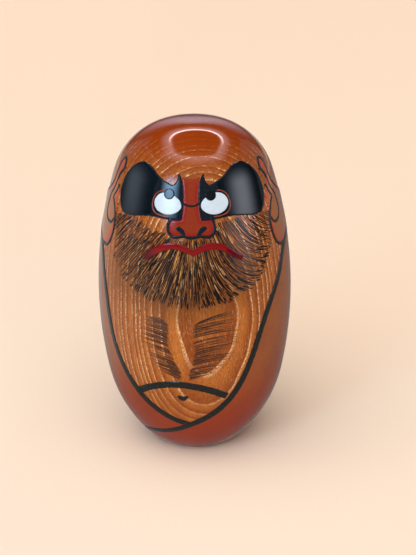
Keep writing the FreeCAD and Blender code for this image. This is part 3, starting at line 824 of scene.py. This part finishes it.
def pale_strokes(random):
    """Narrow gaps between the beard's hairs, where the golden wood shows."""
    strokes = []
    while len(strokes) < PALE_STROKES:
        start = (random.normal(-2, 19), random.uniform(66, 88))
        if not in_beard(*start):
            continue
        places = walk(start, beard_heading, random.uniform(2.5, 6.0), in_beard)
        strokes.append((places, random.uniform(0.14, 0.26), 0.042, random.uniform(0, 0.8)))
    return strokes


# How far the chest's strokes rise at the foot and the top of each patch, degrees above level.
CHEST_RISE = {"left": (26, 12), "right": (14, 18)}
CHEST_ROW = 0.2  # height from each chest stroke to the next


def chest_strokes(side, random):
    """Dry-brushed fan from the inner edge outwards, dense inside and open at its outer ends."""
    rims = rims_of(*upper_face(NODES[f"chest_hair_{side}"])[:2])
    sign = 1 if side == "right" else -1
    low, high = rims[0][:, 1].min(), rims[0][:, 1].max()
    strokes = []
    for height in np.arange(low + CHEST_ROW, high - CHEST_ROW, CHEST_ROW):
        level = rims[0][np.abs(rims[0][:, 1] - height) < 0.5]
        inner = level[:, 0].min() if sign > 0 else level[:, 0].max()
        reach = np.abs(level[:, 0] - inner).max() * math.radians(1) * doll.radius_at(height)
        start = (inner + sign * random.uniform(0, 1.2), height)
        rise = np.interp(height, (low, high), CHEST_RISE[side])
        arch = random.normal(0, 2.5)

        def heading(azimuth, _):
            return sign * (90 + rise + arch - 0.9 * abs(azimuth - start[0]))

        places = walk(start, heading, reach * random.uniform(0.72, 1.12))
        strokes.append((places, random.uniform(0.3, 0.6), 0.012, np.clip(random.normal(0.7, 0.2), 0, 1)))
        if random.uniform() < 0.9:
            places = walk(start, heading, reach * random.uniform(0.45, 1.2))
            strokes.append((places, random.uniform(0.14, 0.28), 0.020, random.uniform(0.0, 0.4)))
    return strokes


# Each sideburn hair's azimuth and height on the right, and how far it rises outwards, in degrees.
SIDEBURNS = ((58.0, 105.4, 8), (58.4, 104.4, 8), (58.8, 99.0, -4), (58.6, 97.6, -8), (57.4, 93.6, -14),
             (56.6, 92.4, -10), (56.8, 90.9, -4))


def sideburn_strokes(random):
    """A few fine hairs between each brow and ear."""
    strokes = []
    for sign in (-1, 1):
        for azimuth, height, tilt in SIDEBURNS:
            for _ in range(2):
                start = (sign * (azimuth + random.uniform(-0.8, 0.3)), height + random.uniform(-0.4, 0.4))
                heading = sign * (92 + tilt + random.normal(0, 5))
                places = walk(start, lambda a, h: heading, random.uniform(1.6, 2.9))
                strokes.append((places, 0.3, 0.05, random.uniform(0.0, 0.2)))
    return strokes


# ---------- the studio
CAMERA_AZIMUTH = 1.7
CAMERA_ELEVATION = 20.0
CAMERA_DISTANCE = 450.0
CAMERA_LENS = 80.8
CAMERA_ROLL = -0.56
AIM_RIGHT = 4.8  # the doll stands a little left of the middle of the picture
AIM_UP = 1.0


def make_camera():
    data = bpy.data.cameras.new("camera")
    data.lens = CAMERA_LENS
    data.clip_start = 0.01
    camera = bpy.data.objects.new("camera", data)
    bpy.context.scene.collection.objects.link(camera)
    back = direction(CAMERA_AZIMUTH, CAMERA_ELEVATION)
    right = Vector((0, 0, 1)).cross(back).normalized()
    up = back.cross(right)
    middle = Vector((0, 0, doll.top / 2))
    place = middle + back * CAMERA_DISTANCE
    aim = middle + right * AIM_RIGHT + up * AIM_UP
    camera.location = place * MM
    turn = (aim - place).to_track_quat("-Z", "Y").to_matrix()
    camera.rotation_mode = "QUATERNION"
    camera.rotation_quaternion = (turn @ Matrix.Rotation(math.radians(CAMERA_ROLL), 3, "Z")).to_quaternion()
    bpy.context.scene.camera = camera


HEART = 0.55  # share of the doll's height that the panels face


def face_the_doll(obj, azimuth, elevation, distance):
    """Stand an object off the doll and turn its +Z towards the doll's middle."""
    middle = Vector((0, 0, doll.top * HEART))
    place = middle + direction(azimuth, elevation) * distance
    obj.location = place * MM
    obj.rotation_mode = "QUATERNION"
    obj.rotation_quaternion = (middle - place).to_track_quat("Z", "Y")


def glow_material(name, colour, strength):
    """Light of one colour. `strength` turns a Shader into the number or socket for its strength."""
    glow = Shader(name, Specular_IOR_Level=0.0, Emission_Color=linear(colour))
    glow.feed(glow.surface.inputs["Emission Strength"], strength(glow))
    return glow.finish((0.0, 0.0, 0.0, 1.0), 1.0)


def hide(obj, *rays):
    """Make the object invisible to these kinds of rays."""
    for kind in rays:
        setattr(obj, f"visible_{kind}", False)


ROUND_POINTS = 96  # points round each circle of the studio


def circle(radius, height):
    """Points round a level circle about the origin."""
    turn = np.linspace(0, 2 * math.pi, ROUND_POINTS, endpoint=False)
    return [(radius * math.cos(t), radius * math.sin(t), height) for t in turn]


def black_card_material():
    return Shader("black_card", Specular_IOR_Level=0.0).finish(linear(CARD_BLACK), 1.0)


PLATEAU = 0.05  # share of a panel's half width that is evenly bright
# Azimuth, elevation, distance, size, colour, strength and tail of each panel, and if it lights things.
PANELS = {
    "window_left": (-31, 23, 620, (320, 420), (168, 214, 255), 14.0, 1.0, True),
    "wall_left": (-88, 14, 700, (900, 800), (208, 220, 234), 1.7, 2.0, False),
    "window_right": (70, 14, 640, (800, 800), (222, 226, 238), 4.6, 2.2, False),
    "wall_back": (180, 26, 700, (900, 460), (190, 205, 225), 1.5, 1.0, False),
}


def make_panel(name, azimuth, elevation, distance, size, colour, strength, tail, lights):
    """A glowing panel, black behind. Its glow falls off towards its edges, faster with a larger tail."""
    width, height = size[0] / 2, size[1] / 2
    outline = ((-width, -height), (width, -height), (width, height), (-width, height))
    corners = [(x, y, z) for z in (0, -4) for x, y in outline]

    def fading(glow):
        across, up = (glow.math("ABSOLUTE", glow.axis(k)) for k in (0, 1))
        return glow.times(glow.math("POWER", glow.times(
            glow.fade_mm(across, width * PLATEAU, width, 1.0, 0.0),
            glow.fade_mm(up, height * PLATEAU, height, 1.0, 0.0)), tail), strength)

    glow = glow_material(f"{name}_glow", colour, fading)
    panel = add_mesh(name, corners, [(0, 1, 2, 3), (7, 6, 5, 4)], glow)
    panel.data.materials.append(black_card_material())
    panel.data.polygons[1].material_index = 1
    face_the_doll(panel, azimuth, elevation, distance)
    panel.visible_diffuse = lights
    hide(panel, "camera", "shadow")


RING_LAMP_PLACE = Vector((14, 24, 300))
RING_LAMP_CAP = 30.0  # how far its dark middle rises
RING_LAMP_INNER = 70.0
RING_LAMP_OUTER = 210.0
RING_LAMP_LINE = (93.0, 98.0)  # its bright tube, between these radii
RING_LAMP_SHADE = 150.0  # outer edge of its shade
RING_LAMP_TILT = -8.0
TUBE_STRENGTH = 15.0
SHADE_STRENGTH = 3.6


def tube_and_shade(glow):
    """The ring lamp's glow by the distance from its middle, drawn out towards the camera."""
    inner, outer = RING_LAMP_LINE
    distance = glow.node("ShaderNodeVectorMath", {0: glow.place}, operation="LENGTH").outputs["Value"]
    distance = glow.times(distance, glow.fade_mm(glow.axis(1), -100, 10, 0.72, 1.0))
    tube = glow.times(glow.fade_mm(distance, inner - 3, inner),
                      glow.fade_mm(distance, outer, outer + 4, 1.0, 0.0),
                      glow.fade_mm(glow.axis(1), -20, 70, 0.04, 1.0), TUBE_STRENGTH)
    shade = glow.times(glow.fade_mm(distance, inner, RING_LAMP_SHADE, 0.9, 0.0),
                       glow.fade_mm(distance, inner - 14, inner), SHADE_STRENGTH)
    return glow.math("ADD", tube, shade)


def make_ring_lamp():
    """A round lamp with a dark middle over the head: a bright tube in a wide dim shade."""
    points = [(0, 0, RING_LAMP_CAP)] + circle(RING_LAMP_INNER, 0) + circle(RING_LAMP_OUTER, 0)
    cap = [(0, 1 + k, 1 + (k + 1) % ROUND_POINTS) for k in range(ROUND_POINTS)]
    ring = [(1 + a, 1 + d, 1 + c, 1 + b) for a, b, c, d in grid_faces(2, ROUND_POINTS, closed=True)]
    lamp = add_mesh("ring_lamp", points, cap + ring, black_card_material(), smooth=False)
    lamp.data.materials.append(glow_material("ring_lamp_glow", LAMP_PINK, tube_and_shade))
    for face in lamp.data.polygons[ROUND_POINTS:]:
        face.material_index = 1
    lamp.location = RING_LAMP_PLACE * MM
    lamp.rotation_euler = (math.radians(RING_LAMP_TILT), 0, 0)
    hide(lamp, "camera", "diffuse", "shadow")


def make_sun(name, azimuth, elevation, angle, energy, colour):
    """Broad even light that gives no highlight of its own on the varnish."""
    data = bpy.data.lights.new(name, "SUN")
    data.energy = energy
    data.angle = math.radians(angle)
    data.color = linear(colour)[:3]
    sun = bpy.data.objects.new(name, data)
    sun.rotation_mode = "QUATERNION"
    sun.rotation_quaternion = (-direction(azimuth, elevation)).to_track_quat("-Z", "Y")
    sun.visible_glossy = False
    bpy.context.scene.collection.objects.link(sun)


FLOOR_RADIUS = 8000.0
FLOOR_SPECK = 4  # how much darker the floor's specks are, on the 0 to 255 scale
BACKDROP_RADIUS = 6000.0
BACKDROP_HEIGHTS = (-50.0, 6000.0)
SKY_STRENGTH = 0.36


def make_floor():
    bpy.ops.mesh.primitive_circle_add(vertices=ROUND_POINTS, radius=FLOOR_RADIUS * MM, fill_type="NGON")
    floor = bpy.context.object
    floor.name = "floor"
    pale = Shader("floor_paper", Specular_IOR_Level=0.1)
    speck = tuple(part - FLOOR_SPECK for part in FLOOR_PALE)
    paper = pale.blend(pale.noise((1.2, 1.2, 1.2), detail=3.0), FLOOR_PALE, speck)
    floor.data.materials.append(pale.finish(paper, 0.8))


def make_backdrop():
    """A round wall of nearly the floor's colour, which lights nothing, and a pale sky, which does."""
    points = [point for height in BACKDROP_HEIGHTS for point in circle(BACKDROP_RADIUS, height)]
    backdrop = add_mesh("backdrop", points, grid_faces(2, ROUND_POINTS, closed=True),
                        glow_material("backdrop_pale", BACKDROP_PALE, lambda glow: 1.0))
    hide(backdrop, "diffuse", "glossy", "shadow")
    world = bpy.data.worlds.new("studio")
    world.use_nodes = True
    background = world.node_tree.nodes["Background"]
    background.inputs["Color"].default_value = linear(SKY_GREY)
    background.inputs["Strength"].default_value = SKY_STRENGTH
    bpy.context.scene.world = world


CARD_RADII = (15, 1500)
CARD_HEIGHT = 0.4


def make_reflected_card():
    """A grey sheet on the floor round the doll, brighter on the left, seen only in its varnish."""
    def brighter_left(glow):
        return glow.fade_mm(glow.axis(0), -120, -40, 2.4, 1.0)

    points = [point for radius in CARD_RADII for point in circle(radius, CARD_HEIGHT)]
    card = add_mesh("reflected_card", points, grid_faces(2, ROUND_POINTS, closed=True),
                    glow_material("card_grey", CARD_GREY, brighter_left))
    hide(card, "camera", "diffuse", "shadow")


def make_studio():
    make_floor()
    make_backdrop()
    make_ring_lamp()
    make_reflected_card()
    for name, panel in PANELS.items():
        make_panel(name, *panel)
    make_sun("daylight", -25, 66, 80, 2.5, DAYLIGHT)
    make_sun("front_fill", -5, 22, 80, 1.3, DAYLIGHT)
    bpy.context.scene.view_settings.view_transform = "Standard"


# ---------- everything together
PUPIL_FOOT = 0.25  # the pupils' paint lies over the eye whites, just above their upper face
FILM_STEP = 0.4  # spacing of a film's points
FINE_STEP = 0.2  # the same, and the waver of the brush, on the finest films
FINE_WOBBLE = 0.02


def make_paint():
    """All the films, from the wood outwards."""
    ink = paint_material("black_ink", INK, INK_BLUE, (0.5, 0.5, 0.3), rough=0.3)
    line = paint_material("grey_line", LINE_GREY, LINE_BROWN, (0.5, 0.5, 0.5), (0.45, 0.8))
    white = paint_material("eye_white", EYE_WHITE, EYE_SHADE, (1.2, 1.2, 0.5), (0.4, 0.9), rough=0.35)
    pupil = paint_material("pupil_black", PUPIL, INK, (0.5, 0.5, 0.5), rough=0.2)
    nose, mouth = nose_material(), mouth_material()
    ear = paint_material("ear_red", EAR_RED, EAR_THIN, (0.8, 0.8, 1.5), (0.4, 0.75),
                         edge=(0.9, 2.4, EAR_THIN))
    lid = paint_material("lid_red", LID_RED, WOOD_DARK, (0.6, 0.6, 0.6))
    make_robe(robe_material())
    films = [("collar_line_right", line, "line_black"), ("collar_line_left", line, "line_black"),
             ("belly_line", line, "line_black"), ("navel_mark", line, "line_black"),
             ("nose_red", nose, "nose_red"), ("nose_outline", ink, "ink_black"),
             ("nose_crease", ink, "ink_black"), ("mouth", mouth, "mouth_red")]
    for side in SIDES:
        films += [(f"ear_red_{side}", ear, "ear_red"), (f"ear_outline_{side}", line, "line_black"),
                  (f"brow_{side}", ink, "ink_black"), (f"eye_white_{side}", white, "eye_white"),
                  (f"pupil_{side}", pupil, "pupil_black"), (f"eyelid_line_{side}", lid, "lid_red"),
                  (f"nostril_{side}", ink, "ink_black")]
    for seed, (node, material, slot) in enumerate(films):
        fine = node.startswith(("eyelid", "nose_crease", "pupil", "nostril", "eye_white"))
        step, wobble = (FINE_STEP, FINE_WOBBLE) if fine else (FILM_STEP, WOBBLE)
        lowest = PUPIL_FOOT if node.startswith("pupil") else 0.0
        make_film(node, material, slot, step, wobble, HAND_SEED * seed, lowest)


def make_hair():
    """Beard, chest and sideburn strokes."""
    beard = hair_material("beard_hair", HAIR_DARK, HAIR_BROWN)
    chest = hair_material("chest_hair", CHEST_DARK, CHEST_BROWN)
    random = np.random.default_rng(HAND_SEED)
    make_strokes("beard_hair", beard_strokes(random), beard, "beard", "beard")
    make_strokes("sideburns", sideburn_strokes(random), beard, "beard")
    gold = hair_material("beard_gaps", HAIR_GOLD, HAIR_BROWN)
    make_strokes("beard_gaps", pale_strokes(random), gold, "beard")
    for side in SIDES:
        make_strokes(f"chest_hair_{side}_strokes", chest_strokes(side, random), chest, "chest_hair",
                     f"chest_hair_{side}")


make_body(wood_material())
make_paint()
make_hair()
make_studio()
make_camera()
